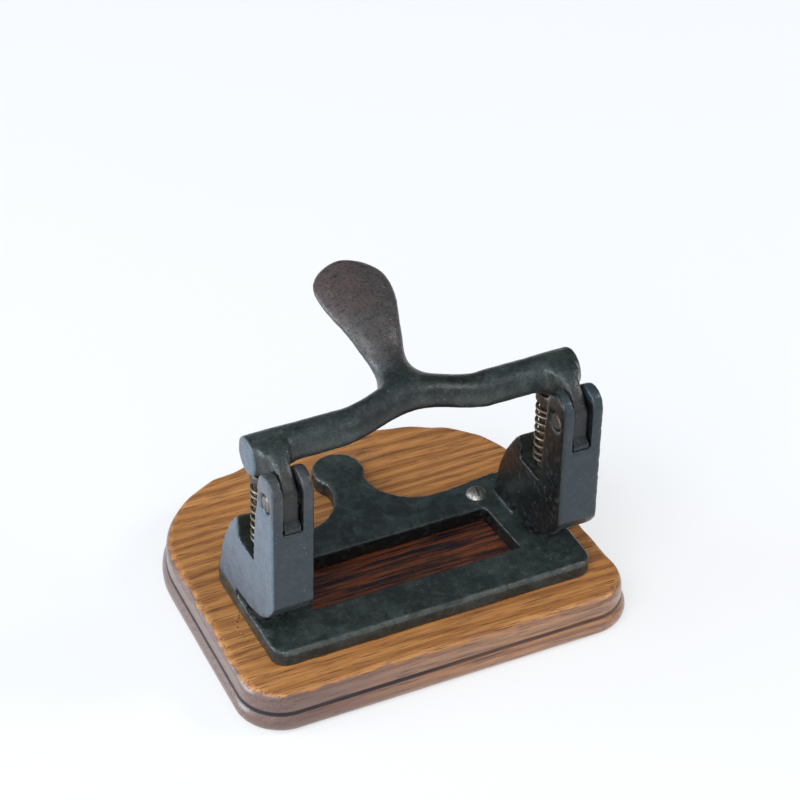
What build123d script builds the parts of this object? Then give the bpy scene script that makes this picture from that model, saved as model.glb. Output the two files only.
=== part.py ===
"""Two-hole lever punch: an iron casting screwed to a moulded wooden board.

Frame: origin at the middle of the board's underside, +X to the user's right
along the lever bar, +Y away from the user, +Z up. All sizes are millimetres.

The lever turns on two pins in the forks of the towers. Its round bar lies
straight above the two punches, so pressing the handle down drives both punches
through the paper in the flared mouths and into the dies. The springs push the
punches, and with them the lever, up again.
"""
from build123d import *

import math
import os

os.makedirs("parts", exist_ok=True)

# ---- driving dimensions ---------------------------------------------------
hole_spacing = 80.0          # filing standard: holes 80 mm apart
punch_diameter = 6.0         # filing standard: 6 mm holes
running_clearance = 0.05     # radial, shaft in bore

# board
board_width = 111.5
board_depth = 94.5
board_thickness = 12.0
board_side_taper = 2.4       # each side draws in this much towards the back
board_back_bow = 13.0        # how far the middle of the back stands out
board_front_radius = 12.5
board_back_radius = 34.0
bead_height = 6.0            # lower, rounded moulding
bead_radius = 2.85
shoulder_inset = 1.2         # step between bead and shoulder
shoulder_radius = 4.4        # quarter round under the flat top
chip_hole_diameter = 9.0

# iron plate
casting_offset = 1.2         # the iron sits this far right of the board's middle
plate_margin = 11.3          # board's front edge to plate's front edge
plate_thickness = 4.8
plate_half_width = 45.4
plate_depth = 45.0           # front edge to rear corners
plate_waist_depth = 42.5     # rear edge beside the tongue
plate_waist_half = 23.0      # where the rear edge starts to run back to the corner
plate_front_radius = 4.5
plate_rear_radius = 8.0
plate_edge_radius = 0.9
window_half_width = 28.0
window_front = 12.7          # from the plate's front edge
window_rear = 31.3
window_corner_radius = 1.2
tongue_radius = 7.1
tongue_reach = 62.3          # plate's front edge to the middle of the disc
tongue_neck_half = 5.4
tongue_flare_radius = 13.5

# towers, measured back from their front face and up from the plate
tower_setback = 1.4
tower_width = 11.5
tower_height = 53.0
post_depth_top = 9.6
post_depth_foot = 11.7
notch_floor = 20.9           # the spring stands on it
notch_rear = 22.0
block_top = 27.3
block_top_depth = 0.7
block_lean = 0.5             # the notch's rear wall leans back this much
block_bulge = (30.8, 15.6)   # middle of the block's round back
block_reach = 35.2
mouth_height = 14.2
mouth_curve = (5.6, 7.3)     # middle of the mouth's round upper jaw
mouth_throat = (14.5, 3.6)   # where the jaw meets the paper slit
slit_height = 2.7
slit_end = 24.4
slot_width = 5.2
slot_floor = 36.8
tower_edge_radius = 0.9

# lever: pivot and bar, measured like the towers
pivot_back = 4.7
pivot_up = 44.8
bar_back = 16.7
bar_up = 51.6
bar_half_length = 45.4
bar_radius = 4.65
bar_end_radius = 5.3         # the ends swell downwards over the punches
bar_swell_start = 33.0
bar_swell_end = 37.0
bar_end_edge_radius = 0.8
arch_half_width = 20.0       # the middle of the bar is arched over this much each side
arch_lift = 3.95
arch_back_share = 0.3        # the arch leans back this much for each unit of lift
arch_steps = 4

# arms, measured back and up from the pivot
arm_width = 4.6
arm_front = 3.0
arm_knee_angle = 48.0        # degrees behind straight up, where the round end stops
arm_root = (7.3, 0.8)
arm_brow = (0.6, 8.4)        # middle of the arm's round front
arm_shoulder_up = 1.5
toe_reach = 4.4              # the toe rests on the slot's front floor
toe_top = -4.4
toe_step = 1.8
toe_gap = 0.15
boss_width = 7.6             # thicker root of the arm around the bar
boss_radius = 7.5
boss_up = 2.0

# handle, measured back and up from the bar's axis
grip_back = 36.3             # to the middle of the round end
grip_radius = 9.6
grip_end = 50.0
neck_back = 13.5
neck_half = 5.0
root_back = 2.0
root_half = 13.5
handle_top = [(0, 6.7), (12, 6.3), (21, 11.3), (34, 15.2), (grip_end, 16.9)]
handle_bottom = [(0, -1.9), (12, -0.5), (21, 5.2), (34, 10.3), (grip_end, 12.5)]
handle_edge_radius = 1.6

# pins, punches, dies and screws
pivot_radius = 2.3
pivot_length = 11.1
pin_recess_radius = 2.9
pin_recess_depth = 0.7
punch_behind_bar = 0.2
tip_height = 3.0             # punch tip above the plate at rest
tip_hollow_radius = 5.2
tip_hollow_depth = 0.6
bar_gap = 0.15               # between bar and punch at rest
cap_radius = 4.2
cap_height = 2.4
cap_below_top = 0.7
cap_edge = 0.4
cap_pin_radius = 0.6
cap_pin_gap = 0.1            # the cross pin's ends lie this far inside the collar
die_radius = 5.0
die_relief = 0.6
die_relief_height = 2.6
screw_spacing_half = 29.5
screw_back = 37.2            # from the plate's front edge
screw_shank_radius = 1.5
screw_clearance = 0.1
screw_head_radius = 3.0
screw_head_height = 1.7
screw_slot = (0.7, 0.8)      # width and depth
screw_slot_angle = 80.0
screw_length = 9.0
screw_point = 2.0

# return springs
wire_diameter = 0.9
spring_radius = 3.65         # to the middle of the wire
spring_pitch = 2.35
end_turn_rise = 1.4          # the first and last turns lie closer
spring_bend = 1.17           # radius of the bend into each straight end

# ---- places worked out from them ------------------------------------------
board_front = -board_depth / 2
board_back = board_depth / 2
plate_front = board_front + plate_margin
plate_top = board_thickness + plate_thickness
tower_front = plate_front + tower_setback
tower_x = hole_spacing / 2
pivot_y = tower_front + pivot_back
pivot_z = plate_top + pivot_up
bar_y = tower_front + bar_back
bar_z = plate_top + bar_up
bar_end_z = bar_z + bar_radius - bar_end_radius
punch_y = bar_y + punch_behind_bar
punch_radius = punch_diameter / 2
punch_top = bar_end_z - bar_end_radius - bar_gap
cap_top = punch_top - cap_below_top
spring_bottom = plate_top + notch_floor
spring_top = cap_top - cap_height
SIDES = {"left": -1, "right": 1}
STANDING = (Align.CENTER, Align.CENTER, Align.MIN)
HANGING = (Align.CENTER, Align.CENTER, Align.MAX)


def at_tower(side, piece):
    """Moves a piece made at x = 0 to one of the towers."""
    return Pos(side * tower_x, 0, 0) * piece


def side_slab(edges, width):
    """Extrudes a closed (y, z) outline to a slab of that width about x = 0."""
    face = make_face([Plane.YZ * edge for edge in edges])
    return extrude(face, width / 2, both=True)


def upright(radius, bottom, top):
    """A cylinder on a punch axis at x = 0."""
    return Pos(0, punch_y, bottom) * Cylinder(radius, top - bottom, align=STANDING)


def cross_cylinder(radius, length, y, z):
    """A cylinder along X about x = 0."""
    return Pos(0, y, z) * Rot(0, 90, 0) * Cylinder(radius, length)


# ---- wooden board ---------------------------------------------------------
def board_outline():
    """Plan of the board: straight front, near-straight sides, bowed back."""
    front_corner = board_width / 2
    back_corner = front_corner - board_side_taper
    side_back = board_back - board_back_bow
    plan = make_face([
        Line((-front_corner, board_front), (front_corner, board_front)),
        Line((front_corner, board_front), (back_corner, side_back)),
        ThreePointArc((back_corner, side_back), (0, board_back), (-back_corner, side_back)),
        Line((-back_corner, side_back), (-front_corner, board_front)),
    ])
    plan = fillet(plan.vertices().sort_by(Axis.Y)[:2], board_front_radius)
    return fillet(plan.vertices().sort_by(Axis.Y)[-2:], board_back_radius)


def wood_base():
    """Board with a rounded bead below a quarter-round shoulder."""
    plan = board_outline()
    bead = extrude(plan, bead_height)
    bead = fillet(bead.faces().sort_by(Axis.Z)[0].edges(), bead_radius)
    bead = fillet(bead.faces().sort_by(Axis.Z)[-1].edges(), bead_radius)
    shoulder_bottom = bead_height / 2
    shoulder = extrude(offset(plan, -shoulder_inset), board_thickness - shoulder_bottom)
    shoulder = fillet(shoulder.faces().sort_by(Axis.Z)[-1].edges(), shoulder_radius)
    board = bead + Pos(0, 0, shoulder_bottom) * shoulder
    iron_place = Pos(casting_offset, 0, 0)
    for side in SIDES.values():
        chip_hole = upright(chip_hole_diameter / 2, -1, board_thickness + 1)
        board -= iron_place * at_tower(side, chip_hole)
        pilot_depth = screw_length + screw_point
        board -= iron_place * screw_place(side) * Cylinder(
            screw_shank_radius, pilot_depth, align=HANGING)
    return board


# ---- iron base ------------------------------------------------------------
def plate_half_plan():
    """Right half of the plate's plan, from the front round to the tongue."""
    front_corner = (plate_half_width, plate_front)
    rear_corner = (plate_half_width, plate_front + plate_depth)
    waist_y = plate_front + plate_waist_depth
    flare_end = (tongue_neck_half + tongue_flare_radius, waist_y)
    neck_front = (tongue_neck_half, waist_y + tongue_flare_radius)
    tip_y = plate_front + tongue_reach
    half = make_face([
        Line((0, plate_front), front_corner),
        Line(front_corner, rear_corner),
        Line(rear_corner, (plate_waist_half, waist_y)),
        Line((plate_waist_half, waist_y), flare_end),
        RadiusArc(flare_end, neck_front, tongue_flare_radius),
        Line(neck_front, (tongue_neck_half, tip_y)),
        Line((tongue_neck_half, tip_y), (0, tip_y)),
        Line((0, tip_y), (0, plate_front)),
    ])
    half = fillet(half.vertices().sort_by_distance(front_corner)[0], plate_front_radius)
    return fillet(half.vertices().sort_by_distance(rear_corner)[0], plate_rear_radius)


def plate():
    """Flat plate with its window and the round-ended tongue behind."""
    half = plate_half_plan()
    plan = half + mirror(half, Plane.YZ) + Pos(0, plate_front + tongue_reach) * Circle(tongue_radius)
    solid = Pos(0, 0, board_thickness) * extrude(plan, plate_thickness)
    solid = fillet(solid.faces().sort_by(Axis.Z)[-1].edges(), plate_edge_radius)
    window = Pos(0, plate_front + (window_front + window_rear) / 2, plate_top) * Box(
        2 * window_half_width, window_rear - window_front, 4 * plate_thickness)
    return solid - fillet(window.edges().filter_by(Axis.Z), window_corner_radius)


def tower_outline():
    """Side view of a tower: post, notch for the spring, block and flared mouth."""
    def place(back, up):
        return (tower_front + back, plate_top + up)

    shoulder_up = tower_height - post_depth_top / 2
    lip = place(0, mouth_height)
    shoulder_front = place(0, shoulder_up)
    shoulder_rear = place(post_depth_top, shoulder_up)
    notch_front_foot = place(post_depth_foot, notch_floor)
    notch_rear_foot = place(notch_rear, notch_floor)
    block_front = place(notch_rear + block_lean, block_top)
    block_brow = place(notch_rear + block_lean + block_top_depth, block_top)
    heel = place(block_reach, -1)
    sole = place(slit_end, -1)
    slit_corner = place(slit_end, slit_height)
    return [
        Line(lip, shoulder_front),
        ThreePointArc(shoulder_front, place(post_depth_top / 2, tower_height), shoulder_rear),
        Line(shoulder_rear, notch_front_foot),
        Line(notch_front_foot, notch_rear_foot),
        Line(notch_rear_foot, block_front),
        Line(block_front, block_brow),
        ThreePointArc(block_brow, place(*block_bulge), place(block_reach, 0)),
        Line(place(block_reach, 0), heel),
        Line(heel, sole),
        Line(sole, slit_corner),
        Line(slit_corner, place(*mouth_throat)),
        ThreePointArc(place(*mouth_throat), place(*mouth_curve), lip),
    ]


def tower():
    """One tower with its fork slot, punch bore, pin hole and pin recesses."""
    body = side_slab(tower_outline(), tower_width)
    front_edges = [edge for edge in body.edges().filter_by(Axis.Z)
                   if edge.center().Y < tower_front + tower_edge_radius]
    body = fillet(front_edges, tower_edge_radius)
    slot_height = tower_height - slot_floor
    fork_slot = Pos(0, tower_front + post_depth_top / 2, plate_top + slot_floor) * Box(
        slot_width, 3 * post_depth_top, 2 * slot_height, align=STANDING)
    bore = upright(punch_radius + running_clearance, board_thickness, spring_bottom + 1)
    pin_hole = cross_cylinder(pivot_radius, 2 * tower_width, pivot_y, pivot_z)
    recess = cross_cylinder(pin_recess_radius, tower_width + 1, pivot_y, pivot_z)
    recess -= cross_cylinder(pin_recess_radius + 1, tower_width - 2 * pin_recess_depth,
                             pivot_y, pivot_z)
    return body - fork_slot - bore - pin_hole - recess


def screw_place(side):
    """Middle of a base screw's seat on the plate."""
    return Pos(side * screw_spacing_half, plate_front + screw_back, plate_top)


def base_frame():
    """The whole iron casting with its bores machined."""
    casting = plate()
    for side in SIDES.values():
        casting += at_tower(side, tower())
        casting -= at_tower(side, upright(die_radius, board_thickness - 1, plate_top + 0.001))
        casting -= screw_place(side) * Cylinder(
            screw_shank_radius + screw_clearance, 3 * plate_thickness)
    return casting


# ---- lever ----------------------------------------------------------------
def bar_ring(x, y, z, radius):
    """A circle across the bar at x."""
    return Plane(origin=(x, y, z), x_dir=(0, 1, 0), z_dir=(1, 0, 0)) * Circle(radius)


def bar_side():
    """Right stretch of the bar: straight, then swelling to its end."""
    inner = bar_ring(arch_half_width, bar_y, bar_z, bar_radius)
    swell_start = bar_ring(bar_swell_start, bar_y, bar_z, bar_radius)
    swell_end = bar_ring(bar_swell_end, bar_y, bar_end_z, bar_end_radius)
    end = extrude(swell_end, bar_half_length - bar_swell_end)
    end = fillet(end.faces().sort_by(Axis.X)[-1].edges(), bar_end_edge_radius)
    straight = extrude(inner, bar_swell_start - arch_half_width)
    return straight + loft([swell_start, swell_end]) + end


def bar_arch():
    """Middle of the bar, arched up and back where the handle leaves it."""
    rings = []
    for step in range(-arch_steps, arch_steps + 1):
        lift = arch_lift * (1 + math.cos(math.pi * step / arch_steps)) / 2
        rings.append(bar_ring(arch_half_width * step / arch_steps,
                              bar_y + arch_back_share * lift, bar_z + lift, bar_radius))
    return loft(rings)


def arm(width, toe):
    """Arm from the bar down into the fork; the toe stops the lever at the top."""
    def place(back, up):
        return (pivot_y + back, pivot_z + up)

    end_radius = pivot_up - slot_floor - toe_gap
    knee_angle = math.radians(arm_knee_angle)
    knee = place(end_radius * math.sin(knee_angle), -end_radius * math.cos(knee_angle))
    shoulder = place(-arm_front, arm_shoulder_up)
    crown = (bar_y - bar_end_radius / 4, bar_end_z + 0.9 * bar_end_radius)
    if toe:
        lower = [
            Line(shoulder, place(-arm_front, toe_top)),
            Line(place(-arm_front, toe_top), place(-toe_reach, toe_top - toe_step)),
            Line(place(-toe_reach, toe_top - toe_step), place(-toe_reach, -end_radius)),
            Line(place(-toe_reach, -end_radius), place(0, -end_radius)),
            RadiusArc(place(0, -end_radius), knee, -end_radius),
        ]
    else:
        lower = [Line(shoulder, knee)]
    outline = lower + [
        Line(knee, place(*arm_root)),
        Line(place(*arm_root), (bar_y, bar_end_z)),
        Line((bar_y, bar_end_z), crown),
        ThreePointArc(crown, place(*arm_brow), shoulder),
    ]
    return side_slab(outline, width)


def handle():
    """Teardrop grip: plan and side view crossed, then rounded."""
    def place(back, up):
        return (bar_y + back, bar_z + up)

    grip_y = bar_y + grip_back
    root_y = bar_y + root_back
    sides = [Spline((side * root_half, root_y), (side * neck_half, bar_y + neck_back),
                    (side * grip_radius, grip_y),
                    tangents=((-side, 0.12), (side * 0.02, 1), (0, 1)),
                    tangent_scalars=(0.9, 1.3, 0.9)) for side in SIDES.values()]
    round_end = ThreePointArc((-grip_radius, grip_y), (0, grip_y + grip_radius),
                              (grip_radius, grip_y))
    plan = make_face(sides + [round_end, Line((-root_half, root_y), (root_half, root_y))])
    blank = extrude(Pos(0, 0, plate_top) * plan, 2 * bar_up)
    top = [place(*point) for point in handle_top]
    bottom = [place(*point) for point in handle_bottom]
    side_view = [Spline(*top), Spline(*bottom), Line(top[0], bottom[0]), Line(top[-1], bottom[-1])]
    grip = blank & side_slab(side_view, 4 * root_half)
    rim = [edge for edge in grip.edges() if edge.center().Y > bar_y + bar_radius + root_back]
    return fillet(rim, handle_edge_radius)


def lever():
    """Bar, two arms and handle as one casting, bored for the pivot pins."""
    half = bar_side()
    casting = bar_arch() + half + mirror(half, Plane.YZ) + handle()
    boss = arm(boss_width, toe=False) & cross_cylinder(
        boss_radius, 2 * boss_width, bar_y, bar_z + boss_up)
    for side in SIDES.values():
        casting += at_tower(side, arm(arm_width, toe=True) + boss)
        casting -= at_tower(side, cross_cylinder(
            pivot_radius + running_clearance, tower_width, pivot_y, pivot_z))
    return casting


# ---- pins, punches, dies and screws -----------------------------------------
def pivot_pin():
    """Round pin with chamfered ends, fixed in the cheeks of the fork."""
    pin = cross_cylinder(pivot_radius, pivot_length, pivot_y, pivot_z)
    return chamfer(pin.edges().filter_by(GeomType.CIRCLE), pin_recess_depth / 2)


def punch():
    """Straight punch with a hollow-ground tip and a chamfered top."""
    tip = plate_top + tip_height
    rod = upright(punch_radius, tip, punch_top)
    rod = chamfer(rod.edges().sort_by(Axis.Z)[-1], cap_below_top / 2)
    hollow = cross_cylinder(tip_hollow_radius, 3 * punch_radius, punch_y,
                            tip - tip_hollow_radius + tip_hollow_depth)
    return rod - hollow - cap_pin(0)


def spring_cap():
    """Collar on the punch that the spring pushes against."""
    collar = upright(cap_radius, cap_top - cap_height, cap_top)
    collar = chamfer(collar.edges().sort_by(Axis.Z)[-1], cap_edge)
    return collar - upright(punch_radius, 0, 2 * cap_top) - cap_pin(0)


def cap_pin(end_gap=cap_pin_gap):
    """Cross pin that fixes the collar on the punch."""
    return Pos(0, punch_y, cap_top - cap_height / 2) * Rot(90, 0, 0) * Cylinder(
        cap_pin_radius, 2 * (cap_radius - end_gap))


def die_bush():
    """Hardened ring in the plate, relieved below so that the chips fall free."""
    bore_radius = punch_radius + running_clearance
    ring = upright(die_radius, board_thickness, plate_top) - upright(bore_radius, 0, 2 * plate_top)
    relief = Pos(0, punch_y, board_thickness) * Cone(
        punch_radius + die_relief, bore_radius, die_relief_height, align=STANDING)
    return ring - relief


def base_screw():
    """Round-head slotted wood screw with a plain shank and a point."""
    dome_radius = (screw_head_radius ** 2 + screw_head_height ** 2) / (2 * screw_head_height)
    ball = Pos(0, 0, screw_head_height - dome_radius) * Sphere(dome_radius)
    head = ball & Cylinder(screw_head_radius, 2 * screw_head_height, align=STANDING)
    slot_width_here, slot_depth = screw_slot
    slot = Pos(0, 0, screw_head_height) * Rot(0, 0, screw_slot_angle) * Box(
        3 * screw_head_radius, slot_width_here, 2 * slot_depth)
    shank = Cylinder(screw_shank_radius, screw_length, align=HANGING)
    point = Pos(0, 0, -screw_length) * Cone(
        screw_shank_radius / 5, screw_shank_radius, screw_point, align=HANGING)
    return head - slot + shank + point


# ---- springs ----------------------------------------------------------------
def biarc(start, start_way, end, end_way):
    """Two tangent arcs from start to end, which leave and arrive along the ways."""
    gap = end - start
    a = 2 * (start_way.dot(end_way) - 1)
    b = -2 * gap.dot(start_way + end_way)
    c = gap.dot(gap)
    reach = (-b - math.sqrt(b * b - 4 * a * c)) / (2 * a)
    near = start + start_way * reach
    far = end - end_way * reach
    joint = (near + far) * 0.5

    def arc(first, corner, last):
        chord_middle = (first + last) * 0.5
        cosine = (last - first).length / 2 / reach
        return ThreePointArc(first, corner + (chord_middle - corner) * (1 / (1 + cosine)), last)

    return [arc(start, near, joint), arc(joint, far, end)]


def coil_points():
    """Place and direction of the wire at each half turn, closer at both ends."""
    ends_height = 2 * (wire_diameter + spring_bend + end_turn_rise)
    body_rise = spring_top - spring_bottom - ends_height
    body_turns = round(body_rise / spring_pitch)
    body_step = body_rise / body_turns / 2
    end_steps = [end_turn_rise / 2] * 2
    rises = end_steps + [body_step] * (2 * body_turns) + end_steps
    points = []
    height = spring_bottom + wire_diameter + spring_bend
    for number, (before, after) in enumerate(zip([0.0] + rises, rises + [0.0])):
        height += before
        level = 0.0 in (before, after)
        slope = 0.0 if level else (before + after) / 2 / (math.pi * spring_radius)
        angle = math.pi * number
        place = Vector(spring_radius * math.cos(angle), spring_radius * math.sin(angle), height)
        points.append((place, Vector(-math.sin(angle), math.cos(angle), slope).normalized()))
    return points


def return_spring():
    """Round-wire compression spring as one unbroken sweep, both ends square."""
    points = coil_points()
    up = Vector(0, 0, 1)
    first, first_way = points[0]
    last, last_way = points[-1]
    foot = first - first_way * spring_bend - up * spring_bend
    head = last + last_way * spring_bend + up * spring_bend
    edges = [Line(foot - up * wire_diameter, foot)] + biarc(foot, up, first, first_way)
    for (start, start_way), (end, end_way) in zip(points, points[1:]):
        edges += biarc(start, start_way, end, end_way)
    edges += biarc(last, last_way, head, up) + [Line(head, head + up * wire_diameter)]
    path = Wire(edges)
    spring = sweep(Plane(origin=path @ 0, z_dir=path % 0) * Circle(wire_diameter / 2), path=path)
    expected = path.length * math.pi * wire_diameter ** 2 / 4
    print(f"spring: wire {path.length:.1f} mm, volume {spring.volume:.2f} of {expected:.2f}, "
          f"turns {(len(points) - 1) / 2:.1f}, least gap {least_gap(path):.2f} mm")
    return Pos(0, punch_y, 0) * spring


def least_gap(path):
    """Least air between stretches of the wire further apart than half a turn."""
    count = 420
    samples = [path @ (number / count) for number in range(count + 1)]
    apart = int(count * spring_radius * math.pi / path.length)
    least = min((samples[i] - samples[j]).length
                for i in range(count + 1) for j in range(i + apart, count + 1))
    return least - wire_diameter


# ---- output ---------------------------------------------------------------
def main():
    """Builds every piece and writes one file per node."""
    iron_place = Pos(casting_offset, 0, 0)
    pieces = {"base_frame": base_frame(), "lever": lever()}
    makers = [pivot_pin, punch, spring_cap, cap_pin, die_bush, return_spring]
    for maker in makers:
        piece = maker()
        for side_name, side in SIDES.items():
            pieces[f"{maker.__name__}_{side_name}"] = at_tower(side, piece)
    for side_name, side in SIDES.items():
        pieces[f"base_screw_{side_name}"] = screw_place(side) * base_screw()
    export_step(wood_base(), "parts/wood_base.step")
    for name, piece in pieces.items():
        export_step(iron_place * piece, f"parts/{name}.step")


main()
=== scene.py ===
"""Looks of a two-hole lever punch: japanned iron castings on a moulded oak board.

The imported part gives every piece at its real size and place, in metres, with
+X along the lever bar, +Y towards the back and +Z up. This script gives the
castings their sand-cast skin, dresses every piece in its own finish, and sets
a pale floor, soft studio light and the camera.
"""
from __future__ import annotations

import logging
import math
from dataclasses import dataclass, field
from enum import Enum
from typing import Union

import bmesh
import bpy
import numpy as np
from mathutils import Matrix, Vector, noise
from mathutils.kdtree import KDTree


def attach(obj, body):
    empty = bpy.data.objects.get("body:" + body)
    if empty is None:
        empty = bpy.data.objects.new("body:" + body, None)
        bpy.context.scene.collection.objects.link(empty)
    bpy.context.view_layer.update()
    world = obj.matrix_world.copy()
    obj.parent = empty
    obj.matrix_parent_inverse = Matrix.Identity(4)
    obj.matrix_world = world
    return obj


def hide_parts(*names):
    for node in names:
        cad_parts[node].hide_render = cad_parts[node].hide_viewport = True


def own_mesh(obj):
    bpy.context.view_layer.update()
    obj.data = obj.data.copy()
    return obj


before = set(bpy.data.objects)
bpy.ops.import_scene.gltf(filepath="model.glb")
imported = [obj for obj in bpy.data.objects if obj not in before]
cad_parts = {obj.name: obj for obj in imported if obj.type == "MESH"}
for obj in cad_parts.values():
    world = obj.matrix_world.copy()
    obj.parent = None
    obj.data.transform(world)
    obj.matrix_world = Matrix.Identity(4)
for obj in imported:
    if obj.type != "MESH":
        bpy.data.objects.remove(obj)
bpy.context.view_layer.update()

LOG = logging.getLogger("lever_punch")
MM = 0.001

Colour = tuple[float, float, float]
Socket = bpy.types.NodeSocket
Feed = Union[Socket, float, tuple]


class Side(Enum):
    """The two towers."""

    LEFT = "left"
    RIGHT = "right"


class Polish(Enum):
    """How a steel piece was finished: roughness at its smoothest and roughest."""

    DULL = (0.34, 0.6)
    BROWNED = (0.42, 0.7)


def rgba(colour: Colour) -> tuple[float, float, float, float]:
    """The colour with full opacity."""
    return (*colour, 1.0)


# ---- shader graphs ----------------------------------------------------------
class Graph:
    """Short calls that place and link the nodes of one shader tree."""

    def __init__(self, tree: bpy.types.NodeTree) -> None:
        """Starts from an empty tree."""
        self.tree = tree
        tree.nodes.clear()

    def node(self, kind: str, feeds: dict[Union[str, int], Feed] | None = None,
             **settings: object) -> bpy.types.Node:
        """Places a node.

        Args:
            kind: the node's type.
            feeds: a value or a socket for each named or numbered input.
            settings: properties of the node itself.

        Returns:
            The new node.
        """
        made = self.tree.nodes.new(kind)
        for name, value in settings.items():
            setattr(made, name, value)
        for key, value in (feeds or {}).items():
            self.feed(made.inputs[key], value)
        return made

    def feed(self, socket: Socket, value: Feed) -> None:
        """Links a socket into an input, or sets the input's own value.

        Args:
            socket: the input.
            value: a socket to link, or a plain value.
        """
        if isinstance(value, bpy.types.NodeSocket):
            self.tree.links.new(value, socket)
        else:
            socket.default_value = value

    def math(self, operation: str, first: Feed, second: Feed = 0.0, clamp: bool = False) -> Socket:
        """Result of one sum on numbers.

        Args:
            operation: the sum.
            first: the first number.
            second: the second number.
            clamp: whether the result is kept from 0 to 1.

        Returns:
            The result.
        """
        made = self.node("ShaderNodeMath", {0: first, 1: second}, operation=operation)
        made.use_clamp = clamp
        return made.outputs[0]

    def spread(self, value: Feed, low: Feed, high: Feed, to_low: Feed = 0.0,
               to_high: Feed = 1.0) -> Socket:
        """Smoothly spreads a value from one range to another, clamped at both ends.

        Args:
            value: the value.
            low: start of its range.
            high: end of its range.
            to_low: the result at the start.
            to_high: the result at the end.

        Returns:
            The result.
        """
        return self.node("ShaderNodeMapRange", {
            "Value": value, "From Min": low, "From Max": high, "To Min": to_low,
            "To Max": to_high}, interpolation_type="SMOOTHSTEP").outputs["Result"]

    def mix(self, share: Feed, first: Feed, second: Feed, blend: str = "MIX") -> Socket:
        """Mix of two colours.

        Args:
            share: how much of the second colour.
            first: the first colour.
            second: the second.
            blend: how they are laid over each other.

        Returns:
            The mixed colour.
        """
        made = self.node("ShaderNodeMix", data_type="RGBA", blend_type=blend)
        for socket, value in ((made.inputs[0], share), (made.inputs[6], first),
                              (made.inputs[7], second)):
            self.feed(socket, value)
        return made.outputs[2]

    def place(self, scale: tuple[float, float, float] = (1.0, 1.0, 1.0)) -> Socket:
        """Place on the piece in millimetres, stretched.

        Args:
            scale: factor on each axis.

        Returns:
            The place.
        """
        coordinates = self.node("ShaderNodeTexCoord").outputs["Object"]
        per_mm = tuple(factor / MM for factor in scale)
        return self.node("ShaderNodeMapping", {
            "Vector": coordinates, "Scale": per_mm}).outputs[0]

    def axis(self, letter: str) -> Socket:
        """One coordinate of the place on the piece, in millimetres."""
        split = self.node("ShaderNodeSeparateXYZ", {0: self.place()})
        return split.outputs[letter]

    def noise(self, where: Feed, scale: Feed, detail: float = 3.0, rough: float = 0.5,
              distortion: float = 0.0) -> Socket:
        """Cloudy noise from 0 to 1; scale is per millimetre.

        Args:
            where: the place.
            scale: clouds per millimetre.
            detail: how many finer layers.
            rough: strength of the finer layers.
            distortion: how much the clouds are warped.

        Returns:
            The noise.
        """
        return self.node("ShaderNodeTexNoise", {
            "Vector": where, "Scale": scale, "Detail": detail, "Roughness": rough,
            "Distortion": distortion}).outputs["Fac"]

    def cells(self, where: Feed, scale: Feed) -> Socket:
        """Distance to the nearest of scattered points."""
        return self.node("ShaderNodeTexVoronoi", {
            "Vector": where, "Scale": scale}).outputs["Distance"]


def open_group(name: str, inputs: dict[str, float], outputs: dict[str, str]) -> Graph:
    """Starts a shader node group.

    Args:
        name: the group's name.
        inputs: each input's name and default value.
        outputs: each output's name and socket type.

    Returns:
        The group's graph, with its Group Input and Group Output placed.
    """
    tree = bpy.data.node_groups.new(name, "ShaderNodeTree")
    graph = Graph(tree)
    for label, value in inputs.items():
        socket = tree.interface.new_socket(label, in_out="INPUT", socket_type="NodeSocketFloat")
        socket.default_value = value
    for label, kind in outputs.items():
        tree.interface.new_socket(label, in_out="OUTPUT", socket_type=kind)
    graph.node("NodeGroupInput")
    graph.node("NodeGroupOutput")
    return graph


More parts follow.
